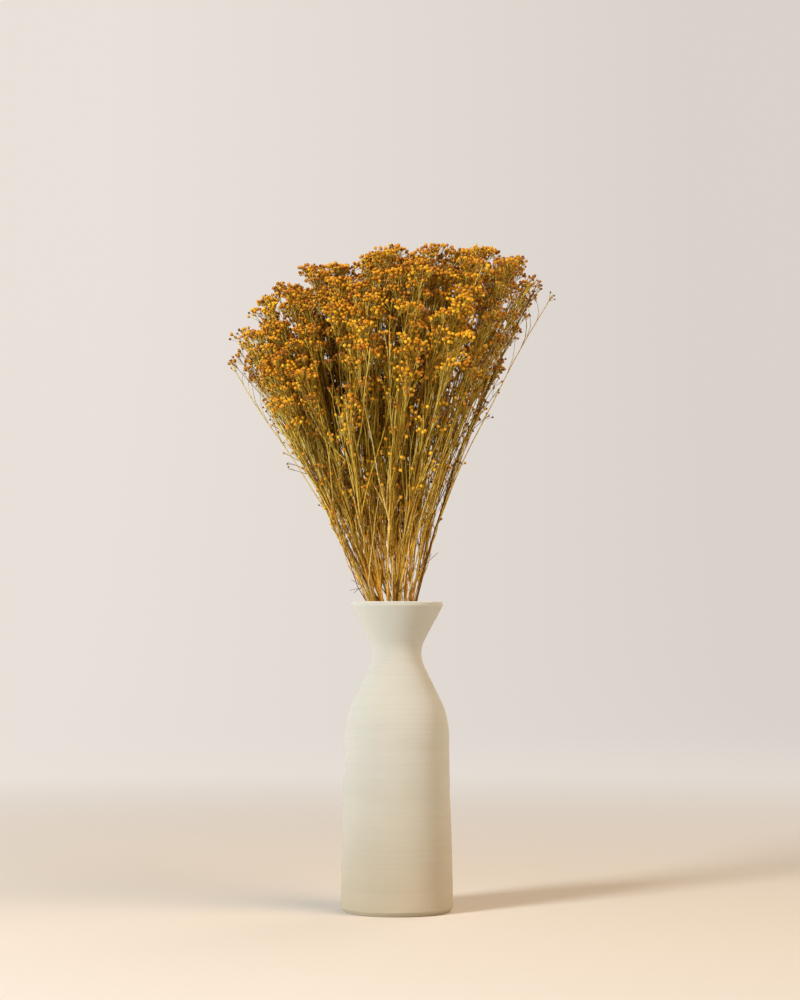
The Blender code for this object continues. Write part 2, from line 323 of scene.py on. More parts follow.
# Loose twigs that stand out from the bundle: where each leaves it, and where it ends, in
# millimetres across, towards the back and up, the number of its pods, and how withered they are
LOOSE_TWIGS = (
    ((-91, 0, 415), (-122, 5, 470), 4, 0.6),
    ((-77, 0, 362), (-136, -3, 447), 6, 0.3),
    ((-80, 0, 375), (-130, 6, 456), 6, 0.3),
    ((-84, 0, 385), (-121, -6, 459), 6, 0.2),
    ((-77, 0, 365), (-132, -9, 451), 5, 0.3),
    ((-80, 0, 380), (-126, 9, 463), 6, 0.2),
    ((-84, 0, 388), (-118, -2, 451), 6, 0.1),
    ((-84, 0, 380), (-113, 5, 461), 6, 0.1),
    ((-77, 0, 352), (-91, -4, 371), 1, 1.0),
    ((-75, 0, 350), (-89.5, 3, 364), 1, 1.0),
    ((-74, 0, 347), (-89, -2, 358.5), 1, 1.0),
    ((66, 0, 394), (83, -3, 432), 4, 1.0),
    ((64, 0, 388), (84, 4, 425), 3, 1.0),
    ((57, 0, 385), (76, -2, 403), 3, 1.0),
    ((57, 0, 383), (71, 3, 411), 3, 1.0),
    ((72, 0, 415), (87, 4, 453), 4, 0.8),
    ((76, 0, 425), (92, -4, 465), 4, 0.8),
    ((80, 0, 432), (99, 3, 478), 3, 0.8),
    ((21, 0, 275), (33.5, -2, 290), 0, 0),
    ((-28, -4, 262), (-37, -6, 268), 0, 0),
    ((-28, -4, 260), (-38.5, -7, 259), 0, 0),
    ((-28, -4, 261), (-35, -3, 257), 0, 0),
    ((4, -22, 256), (7, -26, 263), 0, 0),
    ((4, -22, 254), (1, -26, 259), 0, 0),
    ((4, -22, 258), (8, -25, 257), 0, 0),
    ((4, -22, 255), (3, -27, 262), 0, 0),
    ((6, -22, 256), (9, -27, 261), 0, 0),
    ((6, -22, 253), (2, -25, 255), 0, 0),
)
LOOSE_RADIUS = 0.38 * MM
LOOSE_TAPER = 0.6
LOOSE_POINTS = 6
LOOSE_AIM = 10 * MM
LOOSE_TONES = (0.0, 0.1)
LOOSE_BEND = 0.2
# Side shoots that leave the stem above the rim
SIDE_SHOOTS = 6
SIDE_START = (262 * MM, 340 * MM)
SIDE_TIP = (350 * MM, 470 * MM)
SIDE_BELOW = 30 * MM
SIDE_LEAN = (0.03, 0.15)
SIDE_RADIUS = 0.4 * MM
SIDE_POINTS = 10
# Below this height a shoot's end carries few pods
SPARSE_BELOW = 425 * MM
# The middle of the bundle is painted darker, a painted shade for the light that its outer twigs
# and pods keep from it: from which share of the way out, how far below the dome, and above which
# height
INNER_EDGE = (0.9, 0.35)
INNER_DEPTH = (12 * MM, 50 * MM)
INNER_START = (255 * MM, 350 * MM)
INNER_STEM_SHADED_TONE = 0.56
INNER_POD_PAINTED_SHADE = 0.42

# How much lighter or darker all the pods of one spray are
WARMTH = (-0.13, 0.1)
# The lowest pods are the youngest, and lighter
YOUNG_BELOW = 425 * MM
YOUNG_LIGHTER = 0.06

# A pod's outline from its stalk to its tip: radius and height as shares of its radius
POD_OUTLINE = ((0.0, -1.0), (0.70, -0.66), (1.0, 0.0), (0.72, 0.68), (0.0, 1.06))
POD_SIDES = 6
# Directions that no shoot or pod points in, from which rings and clusters are laid out
ASKEW = (0.31, 0.95, 0.05)
CLUSTER_ASKEW = (0.2, 0.9, 0.1)

# Looks. A pattern is noise: its scale, its detail, and its stretch along each axis. A layer lies
# over what is below it where a pattern rises between two values, with a strength and a colour. A
# skin is a colour by the tone of a shoot or pod. A bump has a strength and a depth.
GRAIN = (900, 3.0)
STREAKS = (620, 4.0, (1, 1, 0.04))
BLOTCHES = (70, 2.0, (1, 1, 0.5))
FLECKS = (420, 2.0, (1, 1, 0.7))
BANDS = (90, 5.0, (0.05, 0.05, 1))
LINES = (760, 2.0, (0.02, 0.02, 1))
BROAD = (14, 2.0, (0.3, 0.3, 1))
CLOUDS = (22, 4.0)
GRIT = (2600, 3.0)
SPECKS = (1400, 1.0)
# The values that most of a noise lies between
NOISE_MIDDLE = (0.3, 0.7)

POD_SKIN = (
    (0.0, (0.070, 0.022, 0.002)),
    (0.16, (0.165, 0.056, 0.003)),
    (0.34, (0.400, 0.130, 0.002)),
    (0.62, (0.760, 0.330, 0.004)),
    (1.0, (0.970, 0.610, 0.027)),
)
POD_MOTTLE = (0.35, 0.7, 0.4, (0.340, 0.110, 0.002))
# The dark cup at a pod's stalk, its calyx and partly a painted shade of its underside: how strong
# it is, up to which share of the pod, and its colour
POD_CUP_SHADE = (0.7, 0.26, (0.150, 0.095, 0.004))
POD_TIP = (0.88, 1.0, 0.5, (0.170, 0.060, 0.003))
POD_ROUGH = (0.28, 0.46)
POD_GLOSS = 0.34
POD_BUMP = (0.4, 0.2 * MM)

# A stem's skins, near the rim and among the heads, and the heights between which they change
STEM_LOW = (
    (0.0, (0.110, 0.050, 0.007)),
    (0.16, (0.430, 0.180, 0.017)),
    (0.30, (0.570, 0.420, 0.064)),
    (0.46, (0.860, 0.480, 0.050)),
    (0.64, (0.980, 0.430, 0.028)),
    (0.78, (0.800, 0.590, 0.110)),
    (0.90, (1.000, 0.700, 0.220)),
    (1.0, (0.950, 0.780, 0.400)),
)
STEM_HIGH = (
    (0.0, (0.045, 0.016, 0.001)),
    (0.25, (0.330, 0.185, 0.009)),
    (0.55, (0.720, 0.520, 0.046)),
    (1.0, (1.000, 0.850, 0.260)),
)
STEM_CHANGE = (270 * MM, 370 * MM)
STEM_FLECK = (0.58, 0.66, 0.6, (0.120, 0.055, 0.006))
STEM_STREAK = (0.45, 0.75, 0.55, (0.110, 0.045, 0.003))
STEM_BLOTCH = (0.5, 0.8, 0.45, (0.480, 0.230, 0.015))
STEM_ROUGH = (0.5, 0.72)
STEM_GLOSS = 0.16
STEM_BUMP = (0.5, 0.3 * MM)

# The clay's colour varies between these
CLAY = ((0.588, 0.590, 0.528), (0.635, 0.645, 0.592))
CLAY_LINE = (0.4, 0.7, 0.15, (0.486, 0.467, 0.377))
CLAY_BAND = (0.35, 0.75, 0.24, (0.537, 0.531, 0.457))
CLAY_CLOUD = (0.45, 0.75, 0.35, (0.661, 0.655, 0.582))
CLAY_SPECK = (0.70, 0.76, 0.35, (0.360, 0.300, 0.210))
CLAY_ROUGH = (0.72, 0.92)
CLAY_SPREAD = 0.7
CLAY_GLOSS = 0.3
CLAY_BUMP = (0.28, 0.45 * MM)
# How much the bands, the lines and the grit stand out of the clay
CLAY_RELIEF = (0.6, 0.35, 0.25)
STAGE_ROUGH = 0.9
STAGE_GLOSS = 0.2


# Helpers


def unit(vector):
    return vector / np.linalg.norm(vector)


def placed(name, data):
    """A new object in the scene."""
    item = bpy.data.objects.new(name, data)
    bpy.context.scene.collection.objects.link(item)
    return item


# Camera and lights


def camera():
    data = bpy.data.cameras.new("camera")
    data.lens = CAMERA_LENS
    data.sensor_width = SENSOR_WIDTH
    item = placed("camera", data)
    item.location = CAMERA_PLACE
    item.rotation_euler = (math.pi / 2 + CAMERA_PITCH, 0, 0)
    bpy.context.scene.camera = item


def area_light(name, place, target, size, power, colour):
    data = bpy.data.lights.new(name, "AREA")
    data.shape = "DISK"
    data.size = size
    data.energy = power
    data.color = colour
    item = placed(name, data)
    item.location = place
    way = unit(np.subtract(target, place))
    item.rotation_euler = (math.acos(-way[2]), 0, math.atan2(way[1], way[0]) - math.pi / 2)


def lights():
    for light in LIGHTS:
        area_light(*light)
    world = bpy.data.worlds.new("studio")
    world.use_nodes = True
    background = world.node_tree.nodes["Background"]
    background.inputs["Color"].default_value = (*WORLD_COLOUR, 1)
    background.inputs["Strength"].default_value = WORLD_STRENGTH
    bpy.context.scene.world = world
    bpy.context.scene.view_settings.view_transform = "Standard"


# Meshes


class Skin:
    """Gathers closed tubes and pods into one mesh, with two numbers on each of its points."""

    def __init__(self):
        self.points = []
        self.faces = []
        self.tones = []
        self.shares = []
        self.count = 0

    def add(self, points, faces, tone, shares):
        self.points.append(points)
        self.faces.append(faces + self.count)
        self.tones.append(np.broadcast_to(tone, len(points)))
        self.shares.append(shares)
        self.count += len(points)

    def tube(self, path, radii, sides, tone):
        """A closed tube along a path. The tone is one number, or one for each point of the path."""
        path = np.asarray(path)
        levels = len(path)
        ring = ring_round(unit(path[-1] - path[0]), sides)
        points = path[:, None, :] + np.asarray(radii)[:, None, None] * ring[None, :, :]
        shares = np.repeat(np.linspace(0, 1, levels), sides)
        tones = np.repeat(np.broadcast_to(tone, levels), sides)
        self.add(points.reshape(-1, 3), tube_faces(levels, sides), tones, shares)

    def pod(self, centre, along, radius, tone, turn):
        """A closed pod that points along a way, turned about it."""
        ring = ring_round(along, POD_SIDES, turn)
        points = [centre + along * (POD_OUTLINE[0][1] * radius)]
        for width, height in POD_OUTLINE[1:-1]:
            points.extend(centre + along * (height * radius) + ring * (width * radius))
        points.append(centre + along * (POD_OUTLINE[-1][1] * radius))
        self.add(np.array(points), POD_FACES, tone, POD_SHARES)

    def mesh(self, name):
        made = bpy.data.meshes.new(name)
        points = np.concatenate(self.points)
        faces = np.concatenate(self.faces)
        made.from_pydata(points.tolist(), [], faces.tolist())
        for label, values in (("tone", self.tones), ("share", self.shares)):
            attribute = made.attributes.new(label, "FLOAT", "POINT")
            attribute.data.foreach_set("value", np.concatenate(values).astype(np.float32))
        made.shade_smooth()
        return made


def ring_round(along, sides, turn=0):
    """The corners of a ring of radius 1 that stands square to a way."""
    other = unit(np.cross(along, ASKEW))
    side = np.cross(along, other)
    angles = turn + np.arange(sides) * (2 * math.pi / sides)
    return np.cos(angles)[:, None] * other + np.sin(angles)[:, None] * side


@functools.cache
def tube_faces(levels, sides):
    """The triangles of a closed tube with this many rings."""
    faces = []
    for level in range(levels - 1):
        for side in range(sides):
            low = level * sides + side
            low_next = level * sides + (side + 1) % sides
            faces.append((low, low_next, low_next + sides))
            faces.append((low, low_next + sides, low + sides))
    top = (levels - 1) * sides
    for side in range(1, sides - 1):
        faces.append((0, side + 1, side))
        faces.append((top, top + side, top + side + 1))
    return np.array(faces)


def pod_faces():
    """The triangles of a pod, and each point's share of the way from its stalk to its tip."""
    faces = []
    rings = len(POD_OUTLINE) - 2
    last = 1 + rings * POD_SIDES
    for side in range(POD_SIDES):
        beside = (side + 1) % POD_SIDES
        faces.append((0, 1 + beside, 1 + side))
        for level in range(rings - 1):
            low = 1 + level * POD_SIDES
            faces.append((low + side, low + beside, low + beside + POD_SIDES))
            faces.append((low + side, low + beside + POD_SIDES, low + side + POD_SIDES))
        low = 1 + (rings - 1) * POD_SIDES
        faces.append((low + side, low + beside, last))
    heights = [POD_OUTLINE[0][1]]
    for _, height in POD_OUTLINE[1:-1]:
        heights += [height] * POD_SIDES
    heights.append(POD_OUTLINE[-1][1])
    span = POD_OUTLINE[-1][1] - POD_OUTLINE[0][1]
    return np.array(faces), (np.array(heights) - POD_OUTLINE[0][1]) / span


POD_FACES, POD_SHARES = pod_faces()


def piece(mesh, look, replaced):
    """Puts a mesh in the scene in place of a solid, on the part's only body."""
    item = placed(mesh.name, mesh)
    mesh.materials.append(look)
    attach(item, "root")
    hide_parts(replaced)


# Materials


class Look:
    """A material and its nodes, by short names."""

    def __init__(self, name):
        self.material = bpy.data.materials.new(name)
        self.material.use_nodes = True
        self.tree = self.material.node_tree
        self.shader = self.tree.nodes["Principled BSDF"]

    def node(self, kind, **values):
        made = self.tree.nodes.new(kind)
        for name, value in values.items():
            setattr(made, name, value)
        return made

    def link(self, source, target):
        self.tree.links.new(source, target)

    def feed(self, value, target):
        """Gives a socket a number, a colour, or another node's output."""
        if isinstance(value, (int, float)):
            target.default_value = value
        elif isinstance(value, tuple):
            target.default_value = (*value, 1)
        else:
            self.link(value, target)

    def noise(self, scale, detail, stretch=(1, 1, 1)):
        made = self.node("ShaderNodeTexNoise")
        made.inputs["Scale"].default_value = scale
        made.inputs["Detail"].default_value = detail
        self.link(self.place(stretch), made.inputs["Vector"])
        return made.outputs["Fac"]

    def place(self, stretch=(1, 1, 1)):
        """The place on the object, in metres, scaled along each axis."""
        coordinates = self.node("ShaderNodeTexCoord")
        mapping = self.node("ShaderNodeMapping")
        mapping.inputs["Scale"].default_value = stretch
        self.link(coordinates.outputs["Object"], mapping.inputs["Vector"])
        return mapping.outputs["Vector"]

    def attribute(self, name):
        return self.node("ShaderNodeAttribute", attribute_name=name).outputs["Fac"]

    def math(self, operation, first, second):
        made = self.node("ShaderNodeMath", operation=operation)
        self.feed(first, made.inputs[0])
        self.feed(second, made.inputs[1])
        return made.outputs["Value"]

    def ramp(self, factor, stops):
        """A colour read from stops of (place, colour) by a factor."""
        made = self.node("ShaderNodeValToRGB")
        elements = made.color_ramp.elements
        while len(elements) < len(stops):
            elements.new(0.5)
        for element, (place, colour) in zip(elements, stops):
            element.position = place
            element.color = (*colour, 1)
        self.link(factor, made.inputs["Fac"])
        return made.outputs["Color"]

    def range(self, value, low, high, new_low, new_high):
        """A value moved from one range of numbers to another."""
        made = self.node("ShaderNodeMapRange")
        for given, target in zip((value, low, high, new_low, new_high), made.inputs):
            self.feed(given, target)
        return made.outputs["Result"]

    def mix(self, factor, first, second, blend="MIX"):
        """Two colours mixed. The node's sockets for colours come after those for numbers."""
        made = self.node("ShaderNodeMix", data_type="RGBA", blend_type=blend)
        self.feed(factor, made.inputs[0])
        self.feed(first, made.inputs[6])
        self.feed(second, made.inputs[7])
        return made.outputs[2]

    def over(self, under, pattern, low, high, strength, colour):
        """A colour laid over another one where a pattern rises from low to high."""
        return self.mix(self.range(pattern, low, high, 0.0, strength), under, colour)

    def along(self, axis):
        """The place on the object along one axis, in metres."""
        parts = self.node("ShaderNodeSeparateXYZ")
        self.link(self.place(), parts.inputs["Vector"])
        return parts.outputs[axis]

    def bump(self, height, strength, distance):
        made = self.node("ShaderNodeBump")
        made.inputs["Strength"].default_value = strength
        made.inputs["Distance"].default_value = distance
        self.link(height, made.inputs["Height"])
        self.give("Normal", made.outputs["Normal"])

    def give(self, name, value):
        """Feeds an input of the shader."""
        self.feed(value, self.shader.inputs[name])

    def rough(self, pattern, least, most):
        """A roughness that varies with a pattern."""
        self.give("Roughness", self.range(pattern, *NOISE_MIDDLE, least, most))


def pod_look():
    """The skin of a seed pod, with the cup at its stalk, partly painted shade, and the dry end at its
    tip.
    """
    look = Look("seed_pod")
    strength, cup_end, cup_shade_colour = POD_CUP_SHADE
    share = look.attribute("share")
    grain = look.noise(*GRAIN)
    skin = look.ramp(look.attribute("tone"), POD_SKIN)
    mottled = look.over(skin, grain, *POD_MOTTLE)
    # The calyx at the stalk, darkened also as a painted shade of the pod's underside
    cup_shaded = look.mix(look.range(share, 0.0, cup_end, strength, 0.0), mottled, cup_shade_colour)
    look.give("Base Color", look.over(cup_shaded, share, *POD_TIP))
    look.rough(grain, *POD_ROUGH)
    look.give("Specular IOR Level", POD_GLOSS)
    look.bump(grain, *POD_BUMP)
    return look.material


def shoot_look():
    """Dry stems and twigs, like straw near the rim and olive to brown among the heads."""
    look = Look("dry_stem")
    tone = look.attribute("tone")
    streaks = look.noise(*STREAKS)
    rise = look.range(look.along("Z"), *STEM_CHANGE, 0.0, 1.0)
    skin = look.mix(rise, look.ramp(tone, STEM_LOW), look.ramp(tone, STEM_HIGH))
    flecked = look.over(skin, look.noise(*FLECKS), *STEM_FLECK)
    streaked = look.over(flecked, streaks, *STEM_STREAK)
    look.give("Base Color", look.over(streaked, look.noise(*BLOTCHES), *STEM_BLOTCH))
    look.rough(streaks, *STEM_ROUGH)
    look.give("Specular IOR Level", STEM_GLOSS)
    look.bump(streaks, *STEM_BUMP)
    return look.material


def stoneware_look():
    """Matte unglazed clay with faint turning lines, soft clouds, a few specks and painted warm bounce
    light low down.
    """
    look = Look("stoneware")
    bands = look.noise(*BANDS)
    lines = look.noise(*LINES)
    grit = look.noise(*GRIT)
    clay = look.mix(look.range(look.noise(*BROAD), *NOISE_MIDDLE, 0.0, 1.0), *CLAY)
    lined = look.over(clay, lines, *CLAY_LINE)
    banded = look.over(lined, bands, *CLAY_BAND)
    clouded = look.over(banded, look.noise(*CLOUDS), *CLAY_CLOUD)
    # Painted reflected light: the foot is painted warmer, as if lit by the floor below
    low_down = look.range(look.along("Z"), 0.0, FOOT_BOUNCE_HEIGHT, 1.0, 0.0)
    bounce_tinted = look.mix(low_down, clouded, FOOT_BOUNCE_TINT, "MULTIPLY")
    look.give("Base Color", look.over(bounce_tinted, look.noise(*SPECKS), *CLAY_SPECK))
    look.rough(grit, *CLAY_ROUGH)
    look.give("Diffuse Roughness", CLAY_SPREAD)
    look.give("Specular IOR Level", CLAY_GLOSS)
    relief = [look.math("MULTIPLY", *part) for part in zip((bands, lines, grit), CLAY_RELIEF)]
    ridges = look.math("ADD", relief[0], relief[1])
    look.bump(look.math("ADD", ridges, relief[2]), *CLAY_BUMP)
    return look.material


def stage_look():
    """A matte floor fading into the wall round it, which glows so it is even; both get painted shade
    to the right.
    """
    look = Look("stage")
    ground = look.node("ShaderNodeVectorMath", operation="MULTIPLY")
    look.link(look.place(), ground.inputs[0])
    ground.inputs[1].default_value = (1, 1, 0)
    away = look.node("ShaderNodeVectorMath", operation="LENGTH")
    look.link(ground.outputs["Vector"], away.inputs[0])
    fade = look.range(away.outputs["Value"], *STAGE_FADE, 0.0, 1.0)
    # Painted shade: the stage's colour and glow darken towards the right, as if lit from the left
    shade = look.range(look.along("X"), -SHADE_REACH, SHADE_REACH, *SHADE)
    faded = look.mix(fade, FLOOR_COLOUR, WALL_COLOUR)
    look.give("Base Color", look.mix(1.0, faded, shade, "MULTIPLY"))
    look.give("Emission Color", GLOW_COLOUR)
    glow = look.range(away.outputs["Value"], *STAGE_FADE, 0.0, WALL_GLOW)
    look.give("Emission Strength", look.math("MULTIPLY", glow, shade))
    look.give("Roughness", STAGE_ROUGH)
    look.give("Specular IOR Level", STAGE_GLOSS)
    return look.material


# Stage


def turned(name, outline, steps):
    """A surface turned about the Z axis, from pairs of radius and height."""
    points = []
    rings = []
    for radius, height in outline:
        if radius == 0:
            rings.append([len(points)] * steps)
            points.append((0, 0, height))
            continue
        rings.append(list(range(len(points), len(points) + steps)))
        for step in range(steps):
            angle = 2 * math.pi * step / steps
            points.append((radius * math.cos(angle), radius * math.sin(angle), height))
    faces = []
    for lower, upper in zip(rings, rings[1:]):
        for step in range(steps):
            beside = (step + 1) % steps
            corners = (lower[step], lower[beside], upper[beside], upper[step])
            faces.append(tuple(dict.fromkeys(corners)))
    mesh = bpy.data.meshes.new(name)
    mesh.from_pydata(points, [], faces)
    return mesh


def stage():
    """A round floor, and a wall that rises from it in a bend and casts no shadow or light."""
    look = stage_look()
    bend = WALL_RADIUS - FLOOR_RADIUS
    curve = [
        (FLOOR_RADIUS + bend * math.sin(angle), bend * (1 - math.cos(angle)))
        for angle in np.linspace(0, math.pi / 2, STAGE_BEND_POINTS)
    ]
    disc = turned("floor", ((0, 0), (FLOOR_RADIUS, 0)), STAGE_STEPS)
    floor = placed("floor", disc)
    rising = turned("wall", [*curve, (WALL_RADIUS, WALL_HEIGHT)], STAGE_STEPS)
    wall = placed("wall", rising)
    wall.visible_shadow = False
    wall.visible_diffuse = False
    wall.visible_glossy = False
    for item in (floor, wall):
        item.data.materials.append(look)
        item.data.shade_smooth()


# Vase


def arc(before, corner, after, radius, steps):
    """The points of the arc that rounds one corner of an outline."""
    corner = np.array(corner)
    back = unit(np.subtract(before, corner))
    ahead = unit(np.subtract(after, corner))
    half = math.acos(float(np.clip(back @ ahead, -1, 1))) / 2
    centre = corner + unit(back + ahead) * (radius / math.sin(half))
    first = corner + back * (radius / math.tan(half)) - centre
    last = corner + ahead * (radius / math.tan(half)) - centre
    start = math.atan2(first[1], first[0])
    swing = (math.atan2(last[1], last[0]) - start + math.pi) % (2 * math.pi) - math.pi
    angles = [start + swing * step / steps for step in range(steps + 1)]
    return [centre + radius * np.array((math.cos(a), math.sin(a))) for a in angles]


def rounded(corners):
    """The outline through corners of (radius, height, fillet, steps). A fillet of 0 stays sharp."""
    places = [corner[:2] for corner in corners]
    outline = []
    for index, (_, _, fillet, steps) in enumerate(corners):
        if fillet:
            outline += arc(places[index - 1], places[index], places[index + 1], fillet, steps)
        else:
            outline.append(np.array(places[index]))
    return outline


def spaced(outline, step):
    """The outline with points added so that none is further than the step from the next."""
    points = [outline[0]]
    for point in outline[1:]:
        count = max(1, math.ceil(float(np.linalg.norm(point - points[-1])) / step))
        start = points[-1]
        points += [start + (point - start) * (index + 1) / count for index in range(count)]
    return points


def turning_line(height):
    """How far the wall stands out at a height."""
    return sum(size * math.sin(height / pitch + phase) for pitch, size, phase in RIDGES)


def vase():
    """The vase, turned from corners of (radius, height, fillet, steps) inside and outside."""
    lip_foot = VASE_HEIGHT - LIP_HEIGHT
    flare_slope = (LIP_RADIUS - THROAT[0]) / (lip_foot - THROAT[1])
    throat_inside = THROAT[0] - WALL * math.hypot(1, flare_slope)
    mouth = throat_inside + flare_slope * (VASE_HEIGHT - THROAT[1])
    inside = [
        (0, FLOOR, 0, 0),
        (BELLY_BEND[0] - WALL, FLOOR, FLOOR_FILLET, 4),
        (SHOULDER[0] - WALL, SHOULDER[1], SHOULDER_FILLET - WALL, 12),
        (throat_inside, THROAT[1], THROAT_FILLET + WALL, 14),
        (mouth, VASE_HEIGHT, MOUTH_FILLET, 5),
    ]
    outside = [
        (LIP_RADIUS + LIP_CORNERS[0], VASE_HEIGHT, LIP_FILLETS[0], 6),
        (LIP_RADIUS + LIP_CORNERS[1], lip_foot, LIP_FILLETS[1], 5),
        (*THROAT, THROAT_FILLET, 24),
        (*SHOULDER, SHOULDER_FILLET, 24),
        (*WAIST_BEND, SIDE_FILLET, 6),
        (*BELLY_BEND, SIDE_FILLET, 6),
        (BELLY_RADIUS, FOOT_BEVEL, HEEL_FILLET, 4),
        (FOOT_RADIUS + FOOT_CORNER, 0, FOOT_FILLET, 3),
        (FOOT_RADIUS + FOOT_RING[0], 0, 0, 0),
        (FOOT_RADIUS + FOOT_RING[1], FOOT_HOLLOW, 0, 0),
        (0, FOOT_HOLLOW, 0, 0),
    ]
    corners = rounded(inside + outside)
    lip = 1 + max(range(len(corners)), key=lambda index: corners[index][1])
    outline = []
    for radius, height in spaced(corners[:lip], INSIDE_STEP) + spaced(corners[lip:], OUTSIDE_STEP):
        if radius > RIDGED_FROM and FOOT_BEVEL < height < VASE_HEIGHT - PLAIN_LIP:
            radius += turning_line(height)
        outline.append((radius, height))
    mesh = turned("vase_surface", outline, VASE_STEPS)
    mesh.shade_smooth()
    mesh.set_sharp_from_angle(angle=VASE_SHARP)
    piece(mesh, stoneware_look(), "vase")


# Bundle


def spread(rise):
    """How far the outermost stems have leaned out at a rise."""
    bent = (rise + math.hypot(rise, LEAN_BLEND)) / 2
    return LEAN_BELOW * rise + (LEAN_ABOVE - LEAN_BELOW) * bent + CURL_OUT * max(rise, 0) ** 2


def drift(rise):
    """How far the middle of the bundle has moved to the right at a rise. It leans left."""
    above = max(rise, 0)
    return DRIFT_BACK * above**2 - DRIFT_LEFT * above**2 / (above + DRIFT_START)


def bundle_point(u, v, height):
    """Where the stem of place (u, v) passes a height."""
    rise = height - NECK_HEIGHT
    out = spread(rise)
    x = drift(rise) + out * u + NECK_SPREAD * v
    y = out * DEPTH_SHARE * v - NECK_SPREAD * u
    return np.array((x, y, height))


def dome_height(u, v):
    """The height of the heads' dome over a place in the bundle."""
    left = max(DOME_PEAK - u, 0)
    right = max(u - DOME_PEAK, 0)
    fall = DOME_FALL_LEFT * left**DOME_POWER_LEFT + DOME_FALL_RIGHT * right**DOME_POWER_RIGHT
    fall += DOME_FALL_DEPTH * abs(v) ** DOME_POWER_DEPTH
    return NECK_HEIGHT + DOME_RISE - fall


def places():
    """The places of the stems, spread evenly over the unit disc."""
    spots = []
    for index in range(SPRAY_COUNT):
        radius = math.sqrt((index + 0.5) / SPRAY_COUNT)
        turn = FIRST_TURN + index * GOLDEN_TURN
        spots.append((radius * math.cos(turn), radius * math.sin(turn)))
    return spots


def inside_disc(u, v):
    """The place, moved back to the bundle's edge where it lies beyond it."""
    share = min(1, UTMOST / math.hypot(u, v))
    return u * share, v * share


def inside_sides(point):
    """The point, turned back where it lies beyond the bundle's outermost stems."""
    rise = point[2] - NECK_HEIGHT
    across = point[0] - drift(rise)
    beyond = abs(across) - spread(rise) - SIDE_ROOM
    if beyond > 0:
        return point - np.array((math.copysign(SIDE_TURN * beyond, across), 0, 0))
    return point


def inner_shade(point):
    """How much painted shade a point gets deep in the bundle: 0 at its outside and near the rim, 1 in
    its middle.
    """
    rise = point[2] - NECK_HEIGHT
    out = spread(rise)
    u = (point[0] - drift(rise)) / out
    v = point[1] / (out * DEPTH_SHARE)
    inwards = np.interp(-math.hypot(u, v), (-INNER_EDGE[0], -INNER_EDGE[1]), (0, 1))
    below = np.interp(dome_height(u, v) - point[2], INNER_DEPTH, (0, 1))
    above = np.interp(point[2], INNER_START, (0, 1))
    return float(inwards * below * above)


def hollow(point):
    """How well a point lies in or behind one of the hollows: 0 outside, 1 in the middle of one."""
    offs = [
        math.hypot((point[0] - middle[0]) / half[0], (point[2] - middle[1]) / half[1])
        for middle, half in HOLLOWS
    ]
    return max(0, 1 - min(offs) ** 2)


def kept_in_cell(point, own, spots, clearance):
    """The point, moved back where it lies outside the room round its own stem at that height."""
    home = bundle_point(*own, point[2])
    for spot in spots:
        if spot == own:
            continue
        across = bundle_point(*spot, point[2]) - home
        distance = float(np.linalg.norm(across))
        beyond = float((point - home) @ across) / distance - (distance / 2 - clearance)
        if beyond > 0:
            point = point - across * (beyond / distance)
    return point


# Spray


class Shoot:
    """A stem or leader: where it leaves its parent, and its place and height at its tip."""

    def __init__(self, own, start, tip, lean=(0, 0)):
        self.own = own
        self.start = start
        self.tip = tip
        self.lean = lean

    def at(self, height):
        share = min(max((height - self.start) / (self.tip - self.start), 0), 1)
        moved = share * (2 - share)
        u = self.own[0] + self.lean[0] * moved
        v = self.own[1] + self.lean[1] * moved
        return bundle_point(u, v, height)

    def edge(self):
        """How near its tip is to the bundle's left or right side: 0 well inside, 1 at the side."""
        across = abs(self.own[0] + self.lean[0])
        return min(max((across - EDGE_FROM) / (1 - EDGE_FROM), 0), 1)


def leaders(stem, spots, draw):
    """The shoots that leave a stem above the rim, as the solids have them."""
    room = min(math.dist(stem.own, spot) for spot in spots if spot != stem.own) / 2
    away = math.hypot(*stem.own)
    facing = math.atan2(stem.own[1], stem.own[0])
    first_turn = facing + draw.uniform(-FIRST_TWIST, FIRST_TWIST)
    shoots = []
    for number in range(LEADER_COUNT):
        turn = first_turn + number * 2 * math.pi / LEADER_COUNT + draw.uniform(-TWIST, TWIST)
        outward = max(math.cos(turn - facing), 0) * away
        lean = draw.uniform(*LEADER_LEAN) * room
        lean += (OUTER_LEAN - LEFT_LEAN * math.cos(facing)) * outward
        lower = draw.uniform(*LEADER_DROP)
        lower += outward * abs(math.sin(facing)) * draw.uniform(*OUTER_DROP)
        share = LEADER_START + (number + draw.uniform(0, LEADER_SLACK)) * LEADER_SPACING
        start = RIM_CLEAR + share * (stem.tip - RIM_CLEAR)
        away_from_stem = (lean * math.cos(turn), lean * math.sin(turn))
        shoots.append(Shoot(stem.own, start, stem.tip - lower, away_from_stem))
    return shoots


def on_path(path, height):
    """The point of a path at a height."""
    return np.array([np.interp(height, path[:, 2], path[:, axis]) for axis in range(3)])


def bowed(start, end, way, count, bend):
    """Points on a curve that leaves its start along a way and bends over to its end."""
    reach = np.linalg.norm(end - start)
    middle = start + way * (bend * reach)
    shares = np.linspace(0, 1, count)[:, None]
    return (1 - shares) ** 2 * start + 2 * shares * (1 - shares) * middle + shares**2 * end


